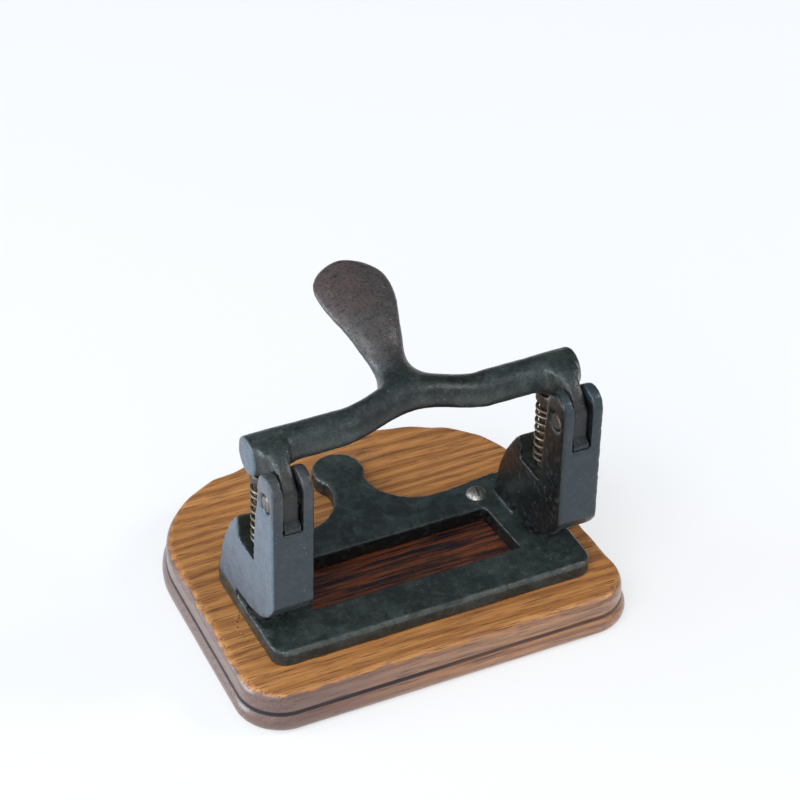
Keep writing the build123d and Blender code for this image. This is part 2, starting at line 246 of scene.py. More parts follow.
class SharedEffects:
    """The node groups that more than one finish uses."""

    FLOAT = "NodeSocketFloat"

    def __init__(self) -> None:
        """Builds every group once."""
        self.groups = {
            "edge_wear": self.edge_wear(),
            "cast_skin": self.cast_skin(),
            "stains": self.stains(),
            "specks": self.specks(),
        }

    def put(self, graph: Graph, name: str, **values: Feed) -> bpy.types.Node:
        """Places a group in a finish.

        Args:
            graph: the finish's graph.
            name: the group's name.
            values: a value for each input, with _ for a blank in its name.

        Returns:
            The group node, whose outputs carry the effect.
        """
        made = graph.node("ShaderNodeGroup", node_tree=self.groups[name])
        for label, value in values.items():
            graph.feed(made.inputs[label.replace("_", " ")], value)
        return made

    def edge_wear(self) -> bpy.types.NodeTree:
        """Bare, rubbed edges: strong on sharp corners and broken up by noise.

        Returns:
            The group.
        """
        graph = open_group("edge_wear", {"Start": 0.53, "Full": 0.6, "Breakup": 0.35},
                           {"Mask": self.FLOAT})
        inlet, outlet = graph.tree.nodes[0], graph.tree.nodes[1]
        sharp = graph.node("ShaderNodeNewGeometry").outputs["Pointiness"]
        edge = graph.spread(sharp, inlet.outputs["Start"], inlet.outputs["Full"])
        patchy = graph.spread(graph.noise(graph.place(), inlet.outputs["Breakup"], 5.0, 0.65),
                              0.38, 0.62)
        graph.feed(outlet.inputs["Mask"], graph.math("MULTIPLY", edge, patchy))
        return graph.tree

    def cast_skin(self) -> bpy.types.NodeTree:
        """Sand-cast surface under thick lacquer: soft orange peel and scattered pits.

        Returns:
            The group.
        """
        graph = open_group("cast_skin", {"Grain": 1.6, "Pit Spacing": 0.45, "Pit Share": 0.5},
                           {"Height": self.FLOAT, "Pits": self.FLOAT})
        inlet, outlet = graph.tree.nodes[0], graph.tree.nodes[1]
        where = graph.place()
        peel = graph.noise(where, inlet.outputs["Grain"], 4.0, 0.6)
        fine = graph.noise(where, graph.math("MULTIPLY", inlet.outputs["Grain"], 4.0), 2.0)
        warp = graph.noise(where, 0.9, 2.0)
        centre = graph.cells(where, inlet.outputs["Pit Spacing"])
        size = graph.math("MULTIPLY", graph.spread(warp, 0.35, 0.75, 0.02, 0.3),
                          inlet.outputs["Pit Share"])
        pit = graph.math("SUBTRACT", 1.0, graph.spread(centre, graph.math(
            "MULTIPLY", size, 0.4), size))
        body = graph.math("ADD", peel, graph.math("MULTIPLY", fine, 0.25))
        graph.feed(outlet.inputs["Height"], graph.math(
            "SUBTRACT", body, graph.math("MULTIPLY", pit, 0.8)))
        graph.feed(outlet.inputs["Pits"], pit)
        return graph.tree

    def stains(self) -> bpy.types.NodeTree:
        """Large soft patches where a surface has dulled or gathered dirt.

        Returns:
            The group.
        """
        graph = open_group("stains", {"Size": 6.0, "Low": 0.4, "High": 0.65},
                           {"Mask": self.FLOAT})
        inlet, outlet = graph.tree.nodes[0], graph.tree.nodes[1]
        scale = graph.math("DIVIDE", 1.0, inlet.outputs["Size"])
        cloud = graph.noise(graph.place(), scale, 6.0, 0.62, 0.4)
        graph.feed(outlet.inputs["Mask"], graph.spread(
            cloud, inlet.outputs["Low"], inlet.outputs["High"]))
        return graph.tree

    def specks(self) -> bpy.types.NodeTree:
        """Small scattered chips with ragged outlines.

        Returns:
            The group.
        """
        graph = open_group("specks", {"Spacing": 0.3, "Size": 0.2, "Share": 0.55},
                           {"Mask": self.FLOAT})
        inlet, outlet = graph.tree.nodes[0], graph.tree.nodes[1]
        where = graph.place()
        ragged = graph.node("ShaderNodeVectorMath", {
            0: where, 1: graph.node("ShaderNodeTexNoise", {
                "Vector": where, "Scale": 1.4, "Detail": 3.0}).outputs["Color"]},
            operation="ADD").outputs[0]
        centre = graph.cells(ragged, inlet.outputs["Spacing"])
        near = graph.math("SUBTRACT", 1.0, graph.spread(
            centre, graph.math("MULTIPLY", inlet.outputs["Size"], 0.6), inlet.outputs["Size"]))
        chosen = graph.math("GREATER_THAN", graph.noise(where, 0.12, 2.0), inlet.outputs["Share"])
        graph.feed(outlet.inputs["Mask"], graph.math("MULTIPLY", near, chosen))
        return graph.tree


# ---- finishes ---------------------------------------------------------------
def start_finish(name: str) -> tuple[bpy.types.Material, Graph, bpy.types.Node]:
    """Opens a material with one Principled BSDF.

    Args:
        name: the material's name.

    Returns:
        The material, its graph and its shader node.
    """
    material = bpy.data.materials.new(name)
    material.use_nodes = True
    graph = Graph(material.node_tree)
    shader = graph.node("ShaderNodeBsdfPrincipled")
    graph.node("ShaderNodeOutputMaterial", {"Surface": shader.outputs[0]})
    return material, graph, shader


@dataclass(frozen=True)
class Zone:
    """A box of the piece, in millimetres, with soft edges."""

    low: tuple[float, float, float]
    high: tuple[float, float, float]
    fade: float = 0.8

    def share(self, graph: Graph) -> Socket:
        """1 inside the box and 0 outside it.

        Args:
            graph: the finish's graph.

        Returns:
            The share.
        """
        share: Feed = 1.0
        for letter, low, high in zip("XYZ", self.low, self.high):
            place = graph.axis(letter)
            above = graph.spread(place, low - self.fade, low)
            below = graph.spread(place, high + self.fade, high)
            share = graph.math("MULTIPLY", share, graph.math("MULTIPLY", above, below))
        return share


@dataclass(frozen=True)
class Tint:
    """A zone where the lacquer is given another colour, and how much of it: some tints are rust and
    wear, others painted light and shade.
    """

    zone: Zone
    colour: Colour
    strength: float = 1.0
    patchiness: float = 0.0      # 0 is even, 1 leaves bare patches


WIDE = 200.0                     # past every piece, in millimetres
BEHIND_PLATE_EDGE = -30.5
PIVOT = (-29.85, 61.6)
BLACK = (0.0035, 0.0045, 0.0045)


@dataclass(frozen=True)
class JapannedIron:
    """Green-black lacquer on cast iron, pitted, chipped and rubbed at the edges; its tints add rust
    and wear, and also painted light and shade.
    """

    name: str
    deep: Colour = (0.017, 0.023, 0.0215)
    film: Colour = (0.038, 0.048, 0.044)
    chip: Colour = (0.15, 0.165, 0.14)
    bare: Colour = (0.15, 0.165, 0.175)
    smoothest: float = 0.3
    roughest: float = 0.5
    rougher_chips: float = 0.2
    bump_depth: float = 0.00006
    dot_scale: float = 1.5       # dots of the sand skin, per millimetre
    speckle: float = 0.35        # how dark those dots are
    dust_share: float = 0.13
    chip_share: float = 0.55
    rub_share: float = 0.5
    pit_share: float = 0.75
    ior: float = 1.48
    tints: tuple[Tint, ...] = ()

    def tint(self, graph: Graph, effects: SharedEffects, colour: Socket) -> Socket:
        """Lays each tint over the lacquer's colour.

        Args:
            graph: the finish's graph.
            effects: the shared groups.
            colour: the lacquer's colour.

        Returns:
            The tinted colour.
        """
        for tint in self.tints:
            share = graph.math("MULTIPLY", tint.zone.share(graph), tint.strength)
            if tint.patchiness:
                patch = effects.put(graph, "stains", Size=4.0, Low=0.3, High=0.6)
                kept = graph.spread(patch.outputs["Mask"], 0.0, 1.0, 1.0 - tint.patchiness, 1.0)
                share = graph.math("MULTIPLY", share, kept)
            colour = graph.mix(share, colour, rgba(tint.colour))
        return colour

    def build(self, effects: SharedEffects) -> bpy.types.Material:
        """The finish's material.

        Args:
            effects: the shared groups.

        Returns:
            The material.
        """
        material, graph, shader = start_finish(self.name)
        skin = effects.put(graph, "cast_skin", Grain=0.8, Pit_Spacing=0.5, Pit_Share=0.55)
        cloud = effects.put(graph, "stains", Size=7.0, Low=0.4, High=0.66).outputs["Mask"]
        dust = effects.put(graph, "stains", Size=2.0, Low=0.48, High=0.74).outputs["Mask"]
        chips = effects.put(graph, "specks", Spacing=0.6, Size=0.12, Share=0.52).outputs["Mask"]
        worn = effects.put(graph, "edge_wear", Start=0.52, Full=0.6, Breakup=0.8)
        colour = graph.mix(cloud, rgba(self.deep), rgba(self.film))
        colour = self.tint(graph, effects, colour)
        dots = graph.spread(graph.noise(graph.place(), self.dot_scale, 4.0, 0.7), 0.48, 0.64)
        colour = graph.mix(graph.math("MULTIPLY", dots, self.speckle), colour, rgba(BLACK))
        colour = graph.mix(graph.math("MULTIPLY", dust, self.dust_share), colour, rgba(self.chip))
        chipped = graph.math("MULTIPLY", chips, self.chip_share)
        colour = graph.mix(chipped, colour, rgba(self.chip))
        rubbed = graph.math("MULTIPLY", worn.outputs["Mask"], self.rub_share)
        colour = graph.mix(rubbed, colour, rgba(self.bare))
        dark_pits = graph.math("MULTIPLY", skin.outputs["Pits"], self.pit_share)
        colour = graph.mix(dark_pits, colour, rgba(self.deep))
        rough = graph.spread(dust, 0.0, 1.0, self.smoothest, self.roughest)
        rough = graph.math("ADD", rough, graph.math("MULTIPLY", chips, self.rougher_chips))
        bump = graph.node("ShaderNodeBump", {
            "Height": skin.outputs["Height"], "Strength": 1.0, "Distance": self.bump_depth})
        graph.feed(shader.inputs["Base Color"], colour)
        graph.feed(shader.inputs["Roughness"], rough)
        graph.feed(shader.inputs["Normal"], bump.outputs[0])
        shader.inputs["IOR"].default_value = self.ior
        return material


# painted reflection: the towers' faces lighter and bluer than the plate, as if they reflect the bright
# room
TOWER_PAINTED_REFLECTION = (0.03, 0.044, 0.052)
# painted light and reflection of the window: lighter, bluer grey
SIDE_PAINTED_LIGHT = (0.085, 0.116, 0.152)    # the towers' outer sides and the bar's left end
# painted shade: the towers' fronts darker than their sides
FRONT_PAINTED_SHADE = (0.012, 0.025, 0.034)   # the towers' fronts
# painted shade in the springs' notches, dark olive
NOTCH_PAINTED_SHADE = (0.02, 0.022, 0.016)
SCUFF = (0.085, 0.09, 0.08)
RUSTY = (0.07, 0.056, 0.05)
BASE_TINTS = (
    # painted reflection on the two towers
    Tint(Zone((-WIDE, -WIDE, 17.6), (-34.4, WIDE, WIDE), 0.6), TOWER_PAINTED_REFLECTION, 0.85, 0.3),
    Tint(Zone((36.8, -WIDE, 17.6), (WIDE, WIDE, WIDE), 0.6), TOWER_PAINTED_REFLECTION, 0.85, 0.3),
    # painted light and reflection on the towers' outer sides
    Tint(Zone((-WIDE, -WIDE, 18.5), (-44.3, WIDE, WIDE), 0.2), SIDE_PAINTED_LIGHT, 0.9, 0.35),
    Tint(Zone((46.7, -WIDE, 18.5), (WIDE, WIDE, WIDE), 0.2), SIDE_PAINTED_LIGHT, 0.7, 0.35),
    # painted shade on the left tower's front
    Tint(Zone((-43.9, -WIDE, 18.5), (-33.0, -34.3, WIDE), 0.2), FRONT_PAINTED_SHADE, 0.8, 0.3),
    Tint(Zone((-WIDE, -WIDE, 15.6), (WIDE, -35.2, 17.2), 0.4), SCUFF, 0.6, 1.0),
    # painted shade on the right tower's front
    Tint(Zone((36.1, -WIDE, 18.5), (WIDE, -34.3, WIDE), 0.2), FRONT_PAINTED_SHADE, 0.9, 0.3),
    # painted shade in the springs' notches
    Tint(Zone((-44.0, -24.6, 37.2), (-32.0, -11.6, 45.0), 0.3), NOTCH_PAINTED_SHADE, 0.9),
    Tint(Zone((35.9, -24.6, 37.2), (46.5, -11.6, 45.0), 0.3), NOTCH_PAINTED_SHADE, 0.9),
    # painted shade on the towers' inner sides
    Tint(Zone((34.6, -34.2, 17.6), (36.0, WIDE, WIDE), 0.4), BLACK, 1.0, 0.15),
    Tint(Zone((-34.0, -34.2, 17.6), (-32.4, WIDE, WIDE), 0.4), BLACK, 0.8, 0.4),
    Tint(Zone((-WIDE, -36.3, 61.0), (-30.0, -22.0, WIDE), 4.0), RUSTY, 0.5, 0.7),
    # painted shade on the plate's walls behind its front edge, below its top
    Tint(Zone((-43.0, BEHIND_PLATE_EDGE, 0.0), (45.4, WIDE, 15.9), 0.5), BLACK, 0.95),
    # painted shade round the pivot pins
    Tint(Zone((-WIDE, PIVOT[0] - 2.0, PIVOT[1] - 2.0), (WIDE, PIVOT[0] + 2.0, PIVOT[1] + 2.0)),
         BLACK, 0.9),
    # painted shade in the towers' slots
    Tint(Zone((-41.4, -WIDE, 53.8), (-36.2, WIDE, 67.0), 0.25), BLACK, 0.85),
    Tint(Zone((38.6, -WIDE, 53.8), (43.8, WIDE, 67.0), 0.25), BLACK, 0.85),
)
LEVER_TINTS = (
    Tint(Zone((-WIDE, 0.0, 0.0), (WIDE, WIDE, WIDE), 12.0), (0.075, 0.062, 0.058), 0.9, 0.3),
    Tint(Zone((-WIDE, 12.0, 0.0), (1.0, WIDE, WIDE), 6.0), (0.095, 0.06, 0.055), 0.6, 0.8),
    Tint(Zone((-14.0, -24.0, 66.0), (14.0, -12.0, 74.0), 4.0), BLACK, 0.75, 0.9),
    # painted light and reflection on the bar's ends
    Tint(Zone((-WIDE, -24.0, 60.0), (-43.9, -12.0, WIDE), 0.25), SIDE_PAINTED_LIGHT, 0.9, 0.2),
    Tint(Zone((46.3, -24.0, 60.0), (WIDE, -12.0, WIDE), 0.25), SIDE_PAINTED_LIGHT, 0.7, 0.2),
    # painted shade on the arms where they sit in the towers' slots
    Tint(Zone((-WIDE, -WIDE, 50.0), (WIDE, -24.0, 65.0), 1.5), BLACK, 0.92),
    Tint(Zone((-WIDE, -WIDE, 64.0), (WIDE, -24.0, 69.5), 1.5), (0.05, 0.036, 0.03), 0.5, 0.8),
)


@dataclass(frozen=True)
class OiledOak:
    """Brown oak with fine pores along X and a thin old varnish, with painted shade in its groove and
    on the wood under the plate's window, and a painted purplish reflection tone on the moulding.
    """

    name: str
    pale: Colour = (0.6, 0.275, 0.085)
    mid: Colour = (0.4, 0.162, 0.044)
    dark: Colour = (0.14, 0.048, 0.015)
    pore: Colour = (0.03, 0.012, 0.007)
    # painted shade, dark purple-brown, for the groove and the wood under the plate's window
    stain_and_shade: Colour = (0.008, 0.0035, 0.006)
    # painted shade: the wood seen through the plate's window, darker than the rest
    window: Colour = (0.2, 0.05, 0.014)
    # painted reflection: the moulding's darker, purplish tone
    moulding: Colour = (0.1, 0.05, 0.046)
    groove: Zone = Zone((-WIDE, -WIDE, 5.65), (WIDE, WIDE, 6.4), 0.4)
    window_zone: Zone = Zone((-29.6, -23.6, 11.0), (32.2, -4.4, WIDE), 0.6)
    top_edge: float = 11.6       # mm above the underside, where the sanded top ends
    # share of the painted reflection tone on the moulding, strongest on the left
    moulding_reflection: tuple[float, float] = (0.88, 0.38)          # moulding's, on the left and the right
    moulding_reflection_from: tuple[float, float] = (-50.0, 15.0)    # x where its change starts and ends
    # painted shade in the groove, on the left and the right
    groove_shade: tuple[float, float] = (0.98, 0.7)          # groove's, on the left and the right
    groove_shade_from: tuple[float, float] = (-25.0, 45.0)
    pore_share: float = 0.8
    window_pore_share: float = 0.85
    grime_share: float = 0.3
    bump_depth: float = 0.00005
    coat_roughness: float = 0.3

    def figure(self, graph: Graph) -> Socket:
        """Long flowing bands of early and late wood, as a share from 0 to 1.

        Args:
            graph: the finish's graph.

        Returns:
            The share of pale wood.
        """
        drift = graph.noise(graph.place((0.008, 0.03, 0.03)), 1.0, 3.0, 0.55)
        split = graph.node("ShaderNodeSeparateXYZ", {0: graph.place()})
        across = graph.math("ADD", graph.math("MULTIPLY", split.outputs["Y"], 0.55),
                            graph.math("MULTIPLY", split.outputs["Z"], 0.8))
        ring = graph.math("ADD", across, graph.math("MULTIPLY", drift, 14.0))
        wave = graph.math("SINE", graph.math("MULTIPLY", ring, 2.6))
        streaks = graph.noise(graph.place((0.02, 1.2, 1.3)), 1.0, 7.0, 0.72)
        return graph.math("ADD", graph.math("MULTIPLY", graph.spread(wave, -1.0, 1.0), 0.22),
                          graph.math("MULTIPLY", streaks, 0.8), clamp=True)

    def pores(self, graph: Graph) -> Socket:
        """Short dark pores, much longer along X than across.

        Args:
            graph: the finish's graph.

        Returns:
            1 in a pore.
        """
        fine = graph.noise(graph.place((0.11, 3.6, 3.6)), 1.0, 2.0, 0.5, 0.2)
        coarse = graph.noise(graph.place((0.05, 1.9, 1.9)), 1.0, 4.0, 0.6)
        return graph.math("ADD", graph.spread(fine, 0.54, 0.7),
                          graph.math("MULTIPLY", graph.spread(coarse, 0.55, 0.72), 0.6), clamp=True)

    def moulding_share(self, graph: Graph) -> Socket:
        """1 on the moulded edge, with the wavy border that sanding has left.

        Args:
            graph: the finish's graph.

        Returns:
            The share.
        """
        wave = graph.noise(graph.place((0.16, 0.16, 0.16)), 1.0, 3.0, 0.6)
        border = graph.math("ADD", self.top_edge - 1.6, graph.math("MULTIPLY", wave, 2.8))
        above = graph.math("SUBTRACT", graph.axis("Z"), border)
        return graph.math("SUBTRACT", 1.0, graph.spread(above, -0.35, 0.1))

    def build(self, effects: SharedEffects) -> bpy.types.Material:
        """The finish's material.

        Args:
            effects: the shared groups.

        Returns:
            The material.
        """
        material, graph, shader = start_finish(self.name)
        figure = self.figure(graph)
        pores = self.pores(graph)
        ramp = graph.node("ShaderNodeValToRGB", {0: figure})
        stops = ramp.color_ramp.elements
        stops[0].position = 0.2
        stops[0].color = rgba(self.dark)
        stops[1].position = 0.8
        stops[1].color = rgba(self.pale)
        middle = stops.new(0.46)
        middle.color = rgba(self.mid)
        colour = ramp.outputs[0]
        edge = self.moulding_share(graph)
        # painted reflection: a darker, purplish tone on the moulding, strongest on the left
        moulding_reflection = graph.spread(graph.axis("X"), *self.moulding_reflection_from, *self.moulding_reflection)
        reflected_moulding = graph.mix(moulding_reflection, colour, rgba(self.moulding))
        colour = graph.mix(edge, colour, reflected_moulding)
        porous = graph.math("MULTIPLY", pores, self.pore_share)
        colour = graph.mix(porous, colour, rgba(self.pore))
        # painted shade on the wood under the plate's window, with dark streaks
        window = self.window_zone.share(graph)
        streaks = graph.noise(graph.place((0.045, 0.7, 0.7)), 1.0, 5.0, 0.62)
        deep = graph.mix(graph.spread(streaks, 0.42, 0.66), rgba(self.stain_and_shade), rgba(self.window))
        porous = graph.math("MULTIPLY", pores, self.window_pore_share)
        deep = graph.mix(porous, deep, rgba(self.pore))
        colour = graph.mix(window, colour, deep)
        # painted shade in the groove, darker on the left
        groove = self.groove.share(graph)
        groove_shade = graph.spread(graph.axis("X"), *self.groove_shade_from, *self.groove_shade)
        colour = graph.mix(graph.math("MULTIPLY", groove, groove_shade), colour, rgba(self.stain_and_shade))
        grime = effects.put(graph, "stains", Size=14.0, Low=0.45, High=0.8).outputs["Mask"]
        colour = graph.mix(graph.math("MULTIPLY", grime, self.grime_share), colour,
                           rgba(self.dark))
        rough = graph.spread(figure, 0.0, 1.0, 0.5, 0.38)
        rough = graph.math("ADD", rough, graph.math("MULTIPLY", pores, 0.25))
        height = graph.math("SUBTRACT", graph.math("MULTIPLY", figure, 0.25), pores)
        bump = graph.node("ShaderNodeBump", {
            "Height": height, "Strength": 1.0, "Distance": self.bump_depth})
        graph.feed(shader.inputs["Base Color"], colour)
        graph.feed(shader.inputs["Roughness"], rough)
        graph.feed(shader.inputs["Normal"], bump.outputs[0])
        gloss = graph.math("MULTIPLY", edge, graph.math("SUBTRACT", 1.0, groove))
        graph.feed(shader.inputs["Coat Weight"], graph.spread(gloss, 0.0, 1.0, 0.0, 1.0))
        shader.inputs["Coat Roughness"].default_value = self.coat_roughness
        return material


@dataclass(frozen=True)
class OldSteel:
    """Bare or browned steel, stained with age."""

    name: str
    clean: Colour
    stained: Colour
    polish: Polish
    stain_size: float = 2.4
    turned_lines: float = 0.0    # fine lines round the piece, as a lathe leaves them
    speck_share: float = 0.6
    stained_metal: float = 0.75
    bump_depth: float = 0.00002

    def build(self, effects: SharedEffects) -> bpy.types.Material:
        """The finish's material.

        Args:
            effects: the shared groups.

        Returns:
            The material.
        """
        material, graph, shader = start_finish(self.name)
        stain_and_shade = effects.put(graph, "stains", Size=self.stain_size, Low=0.38, High=0.68)
        specks = effects.put(graph, "specks", Spacing=0.8, Size=0.22, Share=0.5)
        colour = graph.mix(stain_and_shade.outputs["Mask"], rgba(self.clean), rgba(self.stained))
        speckled = graph.math("MULTIPLY", specks.outputs["Mask"], self.speck_share)
        colour = graph.mix(speckled, colour, rgba(self.stained))
        smooth, dull = self.polish.value
        rough = graph.spread(stain_and_shade.outputs["Mask"], 0.0, 1.0, smooth, dull)
        metal = graph.spread(stain_and_shade.outputs["Mask"], 0.0, 1.0, 1.0, self.stained_metal)
        height = graph.noise(graph.place(), 2.5, 4.0, 0.6)
        if self.turned_lines:
            lines = graph.noise(graph.place((0.4, 0.4, 14.0)), 1.0, 2.0)
            height = graph.math("ADD", height, graph.math("MULTIPLY", lines, self.turned_lines))
        bump = graph.node("ShaderNodeBump", {
            "Height": height, "Strength": 1.0, "Distance": self.bump_depth})
        graph.feed(shader.inputs["Base Color"], colour)
        graph.feed(shader.inputs["Roughness"], rough)
        graph.feed(shader.inputs["Metallic"], metal)
        graph.feed(shader.inputs["Normal"], bump.outputs[0])
        return material


@dataclass(frozen=True)
class PaleFloor:
    """White paper-like floor that keeps the soft shadow."""

    name: str = "pale_floor"
    colour: Colour = (0.86, 0.87, 0.88)
    dimmer: Colour = (0.84, 0.85, 0.86)
    glow: float = 0.62           # share of plain white that the camera sees

    def build(self) -> bpy.types.Material:
        """The finish's material.

        Returns:
            The material.
        """
        material = bpy.data.materials.new(self.name)
        material.use_nodes = True
        graph = Graph(material.node_tree)
        mottle = graph.spread(graph.noise(graph.place(), 0.02, 2.0), 0.3, 0.7, 0.97, 1.0)
        tone = graph.mix(mottle, rgba(self.dimmer), rgba(self.colour))
        matt = graph.node("ShaderNodeBsdfDiffuse", {"Color": tone})
        white = graph.node("ShaderNodeEmission", {"Color": rgba((1.0, 1.0, 1.0)), "Strength": 1.0})
        path = graph.node("ShaderNodeLightPath")
        seen = graph.math("ADD", path.outputs["Is Camera Ray"], path.outputs["Is Glossy Ray"],
                          clamp=True)
        seen = graph.math("MULTIPLY", seen, self.glow)
        blend = graph.node("ShaderNodeMixShader", {
            0: seen, 1: matt.outputs[0], 2: white.outputs[0]})
        graph.node("ShaderNodeOutputMaterial", {"Surface": blend.outputs[0]})
        return material


class Finishes:
    """Every material of the punch, made once."""

    def __init__(self, effects: SharedEffects) -> None:
        """Builds the materials.

        Args:
            effects: the shared groups.
        """
        self.base_iron = JapannedIron("japanned_iron", tints=BASE_TINTS).build(effects)
        self.lever_iron = JapannedIron(
            "japanned_iron_rubbed", film=(0.037, 0.047, 0.043), bump_depth=0.00014, speckle=0.6,
            tints=LEVER_TINTS).build(effects)
        self.oak = OiledOak("oiled_oak").build(effects)
        self.pin = OldSteel("pin_steel", (0.19, 0.165, 0.145), (0.055, 0.045, 0.04),
                            Polish.DULL).build(effects)
        self.punch = OldSteel("punch_steel", (0.15, 0.12, 0.1), (0.06, 0.042, 0.032),
                              Polish.DULL, turned_lines=0.5).build(effects)
        self.cap = OldSteel("cap_steel", (0.13, 0.105, 0.085), (0.05, 0.035, 0.028),
                            Polish.BROWNED).build(effects)
        self.die = OldSteel("die_steel", (0.3, 0.3, 0.31), (0.09, 0.085, 0.08),
                            Polish.DULL).build(effects)
        self.spring = OldSteel("spring_wire", (0.25, 0.2, 0.135), (0.06, 0.042, 0.03),
                               Polish.BROWNED, stain_size=3.5).build(effects)
        self.screw = OldSteel("screw_steel", (0.36, 0.34, 0.3), (0.12, 0.11, 0.095),
                              Polish.DULL).build(effects)


# ---- meshes -----------------------------------------------------------------
def dress(piece: bpy.types.Object, material: bpy.types.Material) -> None:
    """Gives a piece one material."""
    piece.data.materials.clear()
    piece.data.materials.append(material)


def read_places(mesh: bpy.types.Mesh) -> np.ndarray:
    """The mesh's vertices as rows of three numbers, in millimetres.

    Args:
        mesh: the mesh.

    Returns:
        The places.
    """
    flat = np.zeros(len(mesh.vertices) * 3, dtype=np.float64)
    mesh.vertices.foreach_get("co", flat)
    return flat.reshape(-1, 3) / MM


def write_places(mesh: bpy.types.Mesh, places: np.ndarray) -> None:
    """Puts the vertices back into the mesh."""
    mesh.vertices.foreach_set("co", (places * MM).astype(np.float32).ravel())
    mesh.update()


def smooth_share(value: np.ndarray, low: float, high: float) -> np.ndarray:
    """0 below low, 1 above high and a smooth change between them."""
    share = np.clip((value - low) / (high - low), 0.0, 1.0)
    return share * share * (3.0 - 2.0 * share)


def prism(outline: list[tuple[float, float]], left: float, right: float) -> tuple[list, list]:
    """A closed slab with a (y, z) outline between two places in x.

    Args:
        outline: the corners in millimetres, in order.
        left: x of one face.
        right: x of the other face.

    Returns:
        Vertices in metres and faces.
    """
    count = len(outline)
    corners = [(x * MM, y * MM, z * MM) for x in (left, right) for y, z in outline]
    walls = [(i, (i + 1) % count, (i + 1) % count + count, i + count) for i in range(count)]
    ends = [tuple(reversed(range(count))), tuple(range(count, 2 * count))]
    return corners, walls + ends


class Skin:
    """A closed, even mesh whose vertices are moved together, in millimetres."""

    SHRINK, SWELL = 0.6, -0.5    # steps of one pass of smoothing
    FILL, EVEN = 0.9, 0.2        # how fast hollows fill, and how much they are evened
    NORMALS_EVERY = 8            # rounds between two looks at the normals
    SHARP_SAG = 0.1              # sag of a worn edge, as a share of the voxel
    WAVE_SCALE = 0.32            # per millimetre
    BITE_SCALE = 0.8
    BITE_BIAS = 0.15

    def __init__(self, mesh: bpy.types.Mesh) -> None:
        """Reads the mesh and who neighbours whom in it.

        Args:
            mesh: a closed mesh.
        """
        self.mesh = mesh
        self.places = read_places(mesh)
        ends = np.zeros(len(mesh.edges) * 2, dtype=np.int64)
        mesh.edges.foreach_get("vertices", ends)
        self.starts = np.concatenate((ends[0::2], ends[1::2]))
        self.ends = np.concatenate((ends[1::2], ends[0::2]))
        self.counts = np.bincount(self.starts, minlength=len(self.places))[:, None]

    def means(self) -> np.ndarray:
        """The mean place of each vertex's neighbours.

        Returns:
            One row for each vertex.
        """
        total = np.stack([np.bincount(self.starts, weights=self.places[self.ends, axis],
                                      minlength=len(self.places)) for axis in range(3)], axis=1)
        return total / np.maximum(self.counts, 1)

    def normals(self) -> np.ndarray:
        """Outward directions at the vertices.

        Returns:
            One row for each vertex.
        """
        write_places(self.mesh, self.places)
        flat = np.zeros(len(self.places) * 3, dtype=np.float32)
        self.mesh.vertex_normals.foreach_get("vector", flat)
        return flat.reshape(-1, 3).astype(np.float64)

    def relax(self, passes: int, weight: Union[float, np.ndarray] = 1.0) -> None:
        """Rounds edges with little shrinking, more where the weight is high.

        Args:
            passes: how often.
            weight: how much each vertex takes part.
        """
        for _ in range(passes):
            for step in (self.SHRINK, self.SWELL):
                self.places += step * weight * (self.means() - self.places)

    def fill_hollows(self, rounds: int, weight: np.ndarray, least: float = 0.004) -> None:
        """Grows soft fillets where surfaces meet in a hollow corner.

        Args:
            rounds: how often.
            weight: how much each vertex takes part.
            least: hollows less deep than this stay.
        """
        for number in range(rounds):
            if number % self.NORMALS_EVERY == 0:
                normals = self.normals()
            depth = np.einsum("ij,ij->i", self.means() - self.places, normals)
            step = np.clip(depth - least, 0.0, None) * weight
            self.places += self.FILL * step[:, None] * normals
            self.places += self.EVEN * weight[:, None] * (self.means() - self.places)

    def roughen(self, ripple: float, chipping: float, voxel: float) -> None:
        """Adds a sand skin's ripple and wears the sharp edges unevenly.

        Args:
            ripple: height of the ripple.
            chipping: how deep edges are worn.
            voxel: size of the mesh.
        """
        normals = self.normals()
        sag = np.einsum("ij,ij->i", self.places - self.means(), normals)
        sharp = np.clip(sag / (self.SHARP_SAG * voxel), 0.0, 1.0)
        waves = np.array([noise.fractal(Vector(p) * self.WAVE_SCALE, 0.7, 2.0, 3)
                          for p in self.places])
        bites = np.array([noise.noise(Vector(p) * self.BITE_SCALE) for p in self.places])
        move = ripple * waves - chipping * sharp * np.clip(bites + self.BITE_BIAS, 0.0, 1.0)
        self.places += normals * move[:, None]

    def finish(self) -> None:
        """Puts the vertices back and shades the mesh smoothly."""
        write_places(self.mesh, self.places)
        faces = self.mesh.polygons
        faces.foreach_set("use_smooth", [True] * len(faces))


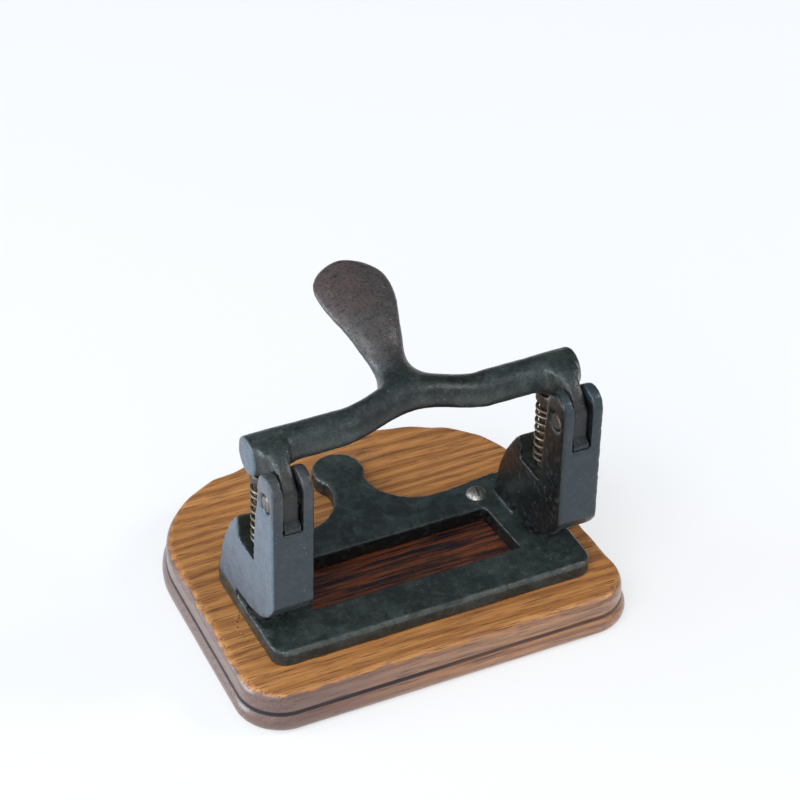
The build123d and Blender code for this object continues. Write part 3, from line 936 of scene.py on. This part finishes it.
@dataclass
class Casting:
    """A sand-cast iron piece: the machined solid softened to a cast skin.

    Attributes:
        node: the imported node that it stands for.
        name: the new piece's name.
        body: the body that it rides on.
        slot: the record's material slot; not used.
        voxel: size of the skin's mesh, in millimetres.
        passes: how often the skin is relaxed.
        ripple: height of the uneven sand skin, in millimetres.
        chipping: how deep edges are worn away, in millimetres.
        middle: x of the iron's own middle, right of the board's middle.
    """

    node: str
    name: str
    body: str
    slot: str
    voxel: float = 0.4
    passes: int = 5
    ripple: float = 0.05
    chipping: float = 0.24
    middle: float = 1.2

    def extra_forms(self) -> list[tuple[list, list]]:
        """Closed forms that are cast on before the skin is made."""
        return []

    def shape(self, skin: Skin) -> None:
        """Changes of form once the skin is made."""
        skin.relax(self.passes)

    def machine(self, skin: Skin) -> None:
        """Faces that are cut flat after casting; none on most pieces."""

    def build(self) -> bpy.types.Object:
        """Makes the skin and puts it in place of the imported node.

        Returns:
            The new piece.
        """
        piece = self.remesh(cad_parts[self.node])
        skin = Skin(piece.data)
        self.shape(skin)
        skin.roughen(self.ripple, self.chipping, self.voxel)
        self.machine(skin)
        skin.finish()
        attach(piece, self.body)
        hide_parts(self.node)
        return piece

    def remesh(self, source: bpy.types.Object) -> bpy.types.Object:
        """A closed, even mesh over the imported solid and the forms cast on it.

        Args:
            source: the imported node's object.

        Returns:
            The new piece.
        """
        shell = bmesh.new()
        shell.from_mesh(source.data)
        for corners, faces in self.extra_forms():
            added = [shell.verts.new(corner) for corner in corners]
            for face in faces:
                shell.faces.new([added[number] for number in face])
        mesh = bpy.data.meshes.new(self.name)
        shell.to_mesh(mesh)
        shell.free()
        piece = bpy.data.objects.new(self.name, mesh)
        bpy.context.scene.collection.objects.link(piece)
        modifier = piece.modifiers.new("skin", "REMESH")
        modifier.mode = "VOXEL"
        modifier.voxel_size = self.voxel * MM
        graph = bpy.context.evaluated_depsgraph_get()
        even = bpy.data.meshes.new_from_object(piece.evaluated_get(graph))
        piece.modifiers.clear()
        piece.data = even
        return piece


@dataclass
class BaseCasting(Casting):
    """Plate and towers, with the posts' outer cheeks and the wider window."""

    tower_from_middle: float = 40.0
    cheek: tuple[float, float] = (4.75, 5.7)     # from and to, across the tower
    cheek_edge: tuple[tuple[float, float], ...] = (
        (-26.6, 60.6), (-25.2, 59.8), (-23.4, 53.8), (-22.9, 49.7), (-22.5, 45.5), (-21.9, 37.2),
        (-26.6, 37.2))
    window_half: float = 28.0
    window_y: tuple[float, float] = (-23.3, -4.6)
    window_grow: tuple[float, float] = (2.1, 1.0)    # at its front and rear corners
    wall_inside: tuple[float, float] = (3.5, 0.4)    # where the walls' move sets in
    wall_outside: tuple[float, float] = (0.8, 5.5)   # and where it dies out
    depth_ease: tuple[float, float] = (2.5, 0.2)
    top_ease: tuple[float, float] = (0.6, 1.4)
    plate_top: float = 16.8
    seat_z: float = 37.7         # the springs' seats in the towers' notches
    seat_y: float = -17.65
    seat_radius: float = 4.8
    seat_depth: float = 0.5
    seat_play: float = 0.03

    def extra_forms(self) -> list[tuple[list, list]]:
        """Cheeks that stand out behind each post's outer side.

        Returns:
            The two cheeks.
        """
        forms = []
        for sign in (-1, 1):
            tower = self.middle + sign * self.tower_from_middle
            left, right = sorted(tower + sign * step for step in self.cheek)
            forms.append(prism(list(self.cheek_edge), left, right))
        return forms

    def shape(self, skin: Skin) -> None:
        """Softens the edges, then moves the window's end walls outwards.

        Args:
            skin: the mesh.
        """
        skin.relax(self.passes)
        across = skin.places[:, 0] - self.middle
        beyond = np.abs(across) - self.window_half
        y, z = skin.places[:, 1], skin.places[:, 2]
        front, rear = self.window_y
        far, near = self.wall_inside
        near_wall = smooth_share(beyond, -far, -near) - smooth_share(beyond, *self.wall_outside)
        far, near = self.depth_ease
        in_depth = (smooth_share(y, front - far, front - near)
                    - smooth_share(y, rear + near, rear + far))
        low = 1.0 - smooth_share(z - self.plate_top, *self.top_ease)
        back_share = np.clip((y - front) / (rear - front), 0.0, 1.0)
        grow = self.window_grow[0] + (self.window_grow[1] - self.window_grow[0]) * back_share
        skin.places[:, 0] += np.sign(across) * grow * near_wall * in_depth * low

    def machine(self, skin: Skin) -> None:
        """Cuts the springs' seats flat.

        Args:
            skin: the mesh.
        """
        across = np.abs(np.abs(skin.places[:, 0] - self.middle) - self.tower_from_middle)
        aside = np.hypot(across, skin.places[:, 1] - self.seat_y)
        seat = (aside < self.seat_radius) & (np.abs(skin.places[:, 2] - self.seat_z) < self.seat_depth)
        skin.places[seat, 2] = np.minimum(skin.places[seat, 2], self.seat_z - self.seat_play)


@dataclass
class LeverCasting(Casting):
    """Bar, arms and grip: the grip is lens-shaped and flows into the bar."""

    bar_y: float = -17.85
    blend_from: float = 4.0      # mm behind the bar's axis
    blend_to: float = 13.0
    lens_share: float = 0.9
    station: float = 0.5         # mm between the slices that are measured
    bar_z: float = 68.4
    root_half: float = 21.0
    root_ease: float = 5.0
    root_fade: float = 8.0
    fill_rounds: int = 320
    soft_passes: int = 30
    thinnest: float = 0.3        # least half size of a slice
    saddle: tuple[tuple[float, float], ...] = (
        (1.0, 8.2), (5.0, 7.8), (9.0, 7.2), (13.0, 7.6), (16.0, 8.4), (16.0, 5.0), (11.0, 2.0),
        (1.0, 2.0))              # (back, up) from the bar's axis
    saddle_layers: tuple[tuple[float, float], ...] = (
        (2.6, 0.0), (3.6, 0.3), (4.4, 0.8), (5.0, 1.5))     # (half width, down)
    wider: float = 0.13          # the neck, against the solid
    paddle_share: float = 0.5    # how much less of that the paddle gets
    neck: tuple[float, float] = (11.0, 19.0)
    paddle: tuple[float, float] = (27.0, 36.0)
    fork_top: tuple[float, float] = (-4.0, -1.5)     # up from the bar's axis
    boss_half: tuple[float, float] = (3.9, 5.4)
    arm_from_middle: float = 40.0

    def extra_forms(self) -> list[tuple[list, list]]:
        """A saddle, stepped down to its sides, that carries the grip's top onto the bar's.

        Returns:
            The saddle's layers.
        """
        forms = []
        for half, down in self.saddle_layers:
            outline = [(self.bar_y + back, self.bar_z + up - down) for back, up in self.saddle]
            forms.append(prism(outline, self.middle - half, self.middle + half))
        return forms

    def shape(self, skin: Skin) -> None:
        """Softens the arms a little and the grip and its root a lot.

        Args:
            skin: the mesh.
        """
        skin.relax(self.passes)
        self.round_grip(skin)
        across = np.abs(skin.places[:, 0] - self.middle)
        behind = skin.places[:, 1] - self.bar_y
        grip = smooth_share(behind, self.blend_from, self.blend_to)
        root = (1.0 - smooth_share(across, self.root_half - self.root_ease, self.root_half)) * (
            1.0 - smooth_share(behind, self.blend_to, self.blend_to + self.root_fade))
        above_fork = smooth_share(skin.places[:, 2] - self.bar_z, *self.fork_top)
        from_arm = np.abs(across - self.arm_from_middle)
        boss = above_fork * (1.0 - smooth_share(from_arm, *self.boss_half))
        skin.fill_hollows(self.fill_rounds, root)
        skin.fill_hollows(self.fill_rounds // 4, boss)
        skin.relax(self.soft_passes, np.maximum(np.maximum(grip, root), boss)[:, None])
        widen = smooth_share(behind, *self.neck) * (
            1.0 - self.paddle_share * smooth_share(behind, *self.paddle))
        skin.places[:, 0] += self.wider * widen * (skin.places[:, 0] - self.middle)

    def round_grip(self, skin: Skin) -> None:
        """Turns the grip's flat, square-edged slices into lens-shaped ones.

        Args:
            skin: the mesh.
        """
        places = skin.places
        behind = places[:, 1] - self.bar_y
        slices = np.floor(behind / self.station).astype(int)
        grip = behind > self.blend_from
        share = self.lens_share * smooth_share(behind, self.blend_from, self.blend_to)
        for number in np.unique(slices[grip]):
            here = np.nonzero(grip & (slices == number))[0]
            near = np.nonzero(grip & (np.abs(slices - number) <= 1))[0]
            low, high = places[near].min(axis=0), places[near].max(axis=0)
            centre, half = (low + high) / 2, np.maximum((high - low) / 2, self.thinnest)
            u = np.clip((places[here, 0] - centre[0]) / half[0], -1.0, 1.0)
            v = np.clip((places[here, 2] - centre[2]) / half[2], -1.0, 1.0)
            for axis, own, other in ((0, u, v), (2, v, u)):
                round_place = centre[axis] + half[axis] * own * np.sqrt(1.0 - other ** 2 / 2)
                places[here, axis] += share[here] * (round_place - places[here, axis])


@dataclass
class Board(Casting):
    """The wooden board, with the tight top corner of its moulding.

    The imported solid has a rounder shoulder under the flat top.
    """

    top: float = 12.0
    inset: float = 1.2           # step between the bead and the shoulder
    packed_radius: float = 4.4
    tight_radius: float = 2.4
    outline_band: tuple[float, float] = (2.6, 3.4)
    holes_within: float = 38.0   # the screw holes are nearer to the middle than this
    settle: float = 10.0         # how far in the flat top's mesh is drawn along
    reach: float = 0.9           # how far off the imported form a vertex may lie
    waver: float = 0.9           # most that sanding has changed the corner's radius
    waver_scale: float = 0.16    # per millimetre

    def inset_at(self, z: np.ndarray, radius: Union[float, np.ndarray]) -> np.ndarray:
        """How far in from the outline a shoulder of this radius lies at a height."""
        rise = np.clip(z - (self.top - radius), 0.0, radius)
        return self.inset + radius - np.sqrt(np.maximum(radius ** 2 - rise ** 2, 0.0))

    def shape(self, skin: Skin) -> None:
        """Moves the shoulder's skin out to the tighter corner.

        Args:
            skin: the mesh.
        """
        places = skin.places
        low, high = self.outline_band
        outside = np.hypot(places[:, 0], places[:, 1]) > self.holes_within
        rim = places[(places[:, 2] > low) & (places[:, 2] < high) & outside]
        tree = KDTree(len(rim))
        for number, (x, y, _) in enumerate(rim):
            tree.insert((x, y, 0.0), number)
        tree.balance()
        shoulder = np.nonzero((places[:, 2] > self.top - self.packed_radius) & outside)[0]
        for number in shoulder:
            x, y, z = places[number]
            nearest, _, depth = tree.find((x, y, 0.0))
            packed = float(self.inset_at(np.float64(z), self.packed_radius))
            if depth < packed - self.reach:
                continue
            waver = self.waver * noise.noise(Vector((x, y, 0.0)) * self.waver_scale)
            tight = float(self.inset_at(np.float64(z), self.tight_radius + waver))
            inner = self.inset + self.packed_radius
            drawn = (packed - tight) * (1.0 - float(smooth_share(
                np.float64(depth), inner, self.settle)))
            places[number, 0] += (nearest[0] - x) / depth * drawn
            places[number, 1] += (nearest[1] - y) / depth * drawn
        skin.relax(self.passes)


# ---- sub-assemblies ---------------------------------------------------------
@dataclass
class BaseUnit:
    """Board, iron casting, dies, pivot pins and base screws."""

    casting: BaseCasting = field(default_factory=lambda: BaseCasting(
        "base_frame", "base_casting", "base", "japanned_iron"))
    board: Board = field(default_factory=lambda: Board(
        "wood_base", "moulded_board", "base", "oak", voxel=0.5, passes=3, ripple=0.02,
        chipping=0.1))

    def build(self, finishes: Finishes) -> None:
        """Makes the casting's skin and dresses the rest.

        Args:
            finishes: every material.
        """
        dress(self.casting.build(), finishes.base_iron)
        LOG.info("base casting skinned")
        dress(self.board.build(), finishes.oak)
        LOG.info("board made")
        for side in Side:
            for node, finish in (("pivot_pin", finishes.pin), ("die_bush", finishes.die),
                                 ("base_screw", finishes.screw)):
                dress(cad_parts[f"{node}_{side.value}"], finish)
                LOG.info("%s_%s dressed", node, side.value)


@dataclass
class LeverUnit:
    """Cross bar, arms and grip in one casting."""

    casting: LeverCasting = field(default_factory=lambda: LeverCasting(
        "lever", "lever_casting", "lever", "japanned_iron_lever", voxel=0.36, chipping=0.1))

    def build(self, finishes: Finishes) -> None:
        """Makes and dresses the lever's skin."""
        dress(self.casting.build(), finishes.lever_iron)
        LOG.info("lever casting skinned")


@dataclass
class PunchUnit:
    """One punch with its collar, cross pin and return spring."""

    side: Side
    spring_slot: str = "spring_wire"
    spring_foot: float = 37.7    # mm, the seat in the tower
    spring_top: float = 59.2
    stroke: float = 7.0

    def build(self, finishes: Finishes) -> None:
        """Dresses each piece of the unit.

        Args:
            finishes: every material.
        """
        for node, finish in (("punch", finishes.punch), ("spring_cap", finishes.cap),
                             ("cap_pin", finishes.pin)):
            dress(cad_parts[f"{node}_{self.side.value}"], finish)
            LOG.info("%s_%s dressed", node, self.side.value)
        dress(self.stand_spring(), finishes.spring)
        LOG.info("return spring %s stands on its seat", self.side.value)

    def stand_spring(self) -> bpy.types.Object:
        """The return spring: a copy of the imported one, which stays on its seat.

        Returns:
            The new piece.
        """
        node = f"return_spring_{self.side.value}"
        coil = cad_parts[node].data.copy()
        spring = bpy.data.objects.new(f"spring_coil_{self.side.value}", coil)
        bpy.context.scene.collection.objects.link(spring)
        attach(spring, "base")
        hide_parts(node)
        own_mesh(spring)
        return spring


# ---- studio -----------------------------------------------------------------
@dataclass(frozen=True)
class Lamp:
    """A round soft lamp; place and size in metres, power in watts."""

    name: str
    place: tuple[float, float, float]
    size: float
    power: float
    colour: Colour = (1.0, 1.0, 1.0)


@dataclass
class Studio:
    """Floor, lights, world and camera."""

    azimuth: float = -26.44
    elevation: float = 37.37
    roll: float = 1.32
    distance: float = 771.6      # mm from the point that the camera looks at
    aim: tuple[float, float, float] = (6.38, -0.18, 57.03)
    lens: float = 135.0
    sensor: float = 36.0
    floor_half: float = 4.0      # metres
    window_way: tuple[float, float, float] = (-0.66, -0.6, 0.45)
    bright_room: Colour = (0.8, 0.88, 1.0)
    dim_room: Colour = (0.085, 0.09, 0.1)
    lit_range: tuple[float, float] = (-0.35, 0.8)    # cosine from the window's way
    lamps: tuple[Lamp, ...] = (
        Lamp("window", (-0.95, 0.36, 0.24), 0.7, 9.5, (0.74, 0.88, 1.0)),
        Lamp("key", (-0.7, -0.6, 0.9), 0.8, 7.5),
        Lamp("lamp", (0.8, -0.36, 0.68), 0.32, 3.6),
    )
    lamps_aim: tuple[float, float, float] = (0.0, 0.0, 0.03)
    clip: tuple[float, float] = (0.05, 20.0)

    def build(self) -> None:
        """Sets up everything round the punch."""
        self.place_floor()
        self.place_lights()
        self.set_world()
        self.place_camera()
        bpy.context.scene.view_settings.view_transform = "Standard"
        LOG.info("studio ready")

    def place_floor(self) -> None:
        """A wide plane under the board."""
        half = self.floor_half
        mesh = bpy.data.meshes.new("floor")
        mesh.from_pydata([(-half, -half, 0), (half, -half, 0), (half, half, 0), (-half, half, 0)],
                         [], [(0, 1, 2, 3)])
        floor = bpy.data.objects.new("floor", mesh)
        bpy.context.scene.collection.objects.link(floor)
        dress(floor, PaleFloor().build())

    def place_lights(self) -> None:
        """A low window behind the left, a soft key in front of it and a small right lamp."""
        for lamp in self.lamps:
            data = bpy.data.lights.new(lamp.name, "AREA")
            data.shape = "DISK"
            data.size = lamp.size
            data.energy = lamp.power
            data.color = lamp.colour
            light = bpy.data.objects.new(lamp.name, data)
            bpy.context.scene.collection.objects.link(light)
            light.location = lamp.place
            look = Vector(self.lamps_aim) - Vector(lamp.place)
            light.rotation_euler = look.to_track_quat("-Z", "Y").to_euler()

    def set_world(self) -> None:
        """A room that is bright in front and to the left and dim behind; white to the camera."""
        world = bpy.data.worlds.new("surroundings")
        bpy.context.scene.world = world
        world.use_nodes = True
        graph = Graph(world.node_tree)
        ray = graph.node("ShaderNodeTexCoord").outputs["Generated"]
        facing = graph.node("ShaderNodeVectorMath", {0: ray, 1: self.window_way},
                            operation="DOT_PRODUCT").outputs["Value"]
        lit = graph.spread(facing, *self.lit_range)
        room = graph.mix(lit, rgba(self.dim_room), rgba(self.bright_room))
        seen = graph.node("ShaderNodeLightPath").outputs["Is Camera Ray"]
        colour = graph.mix(seen, room, rgba((1.0, 1.0, 1.0)))
        background = graph.node("ShaderNodeBackground", {"Color": colour, "Strength": 1.0})
        graph.node("ShaderNodeOutputWorld", {"Surface": background.outputs[0]})

    def place_camera(self) -> None:
        """A long lens from the front left, above, as in the photograph."""
        turn, rise = math.radians(self.azimuth), math.radians(self.elevation)
        back = Vector((math.sin(turn) * math.cos(rise), -math.cos(turn) * math.cos(rise),
                       math.sin(rise)))
        right = Vector((math.cos(turn), math.sin(turn), 0.0))
        up = back.cross(right)
        lean = math.radians(self.roll)
        across = right * math.cos(lean) + up * math.sin(lean)
        upward = up * math.cos(lean) - right * math.sin(lean)
        data = bpy.data.cameras.new("camera")
        data.lens = self.lens
        data.sensor_width = self.sensor
        data.clip_start, data.clip_end = self.clip
        camera = bpy.data.objects.new("camera", data)
        bpy.context.scene.collection.objects.link(camera)
        turned = Matrix((across, upward, back)).transposed().to_4x4()
        place = (Vector(self.aim) + back * self.distance) * MM
        camera.matrix_world = Matrix.Translation(place) @ turned
        bpy.context.scene.camera = camera


def main() -> None:
    """Builds the sub-assemblies in order and sets the studio round them."""
    logging.basicConfig(level=logging.INFO)
    finishes = Finishes(SharedEffects())
    Studio().build()
    BaseUnit().build(finishes)
    LeverUnit().build(finishes)
    for side in Side:
        PunchUnit(side).build(finishes)


if __name__ == "__main__":
    main()
